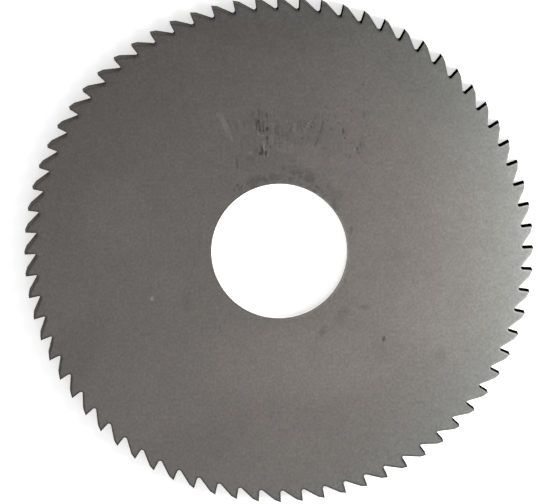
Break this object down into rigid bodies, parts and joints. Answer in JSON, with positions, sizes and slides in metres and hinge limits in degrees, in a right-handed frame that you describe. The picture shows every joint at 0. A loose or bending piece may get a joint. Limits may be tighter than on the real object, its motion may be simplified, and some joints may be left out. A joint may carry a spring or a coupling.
{
  "type": "slitting saw",
  "caption": "Thin toothed steel disc with a plain arbor bore, for cutting narrow slots and parting metal on a milling machine.",
  "frame": {"origin": "on the bore axis at mid-thickness", "axes": "+Z along the bore, out of the side from which the teeth point counter-clockwise; +Y through one cutting tip"},
  "size_m": [0.06, 0.06, 0.0024],
  "materials": {
    "high_speed_steel": "fine satin, ground and hardened, grey"
  },
  "bodies": {
    "root": {"slitting_saw": "high_speed_steel"}
  },
  "joints": []
}
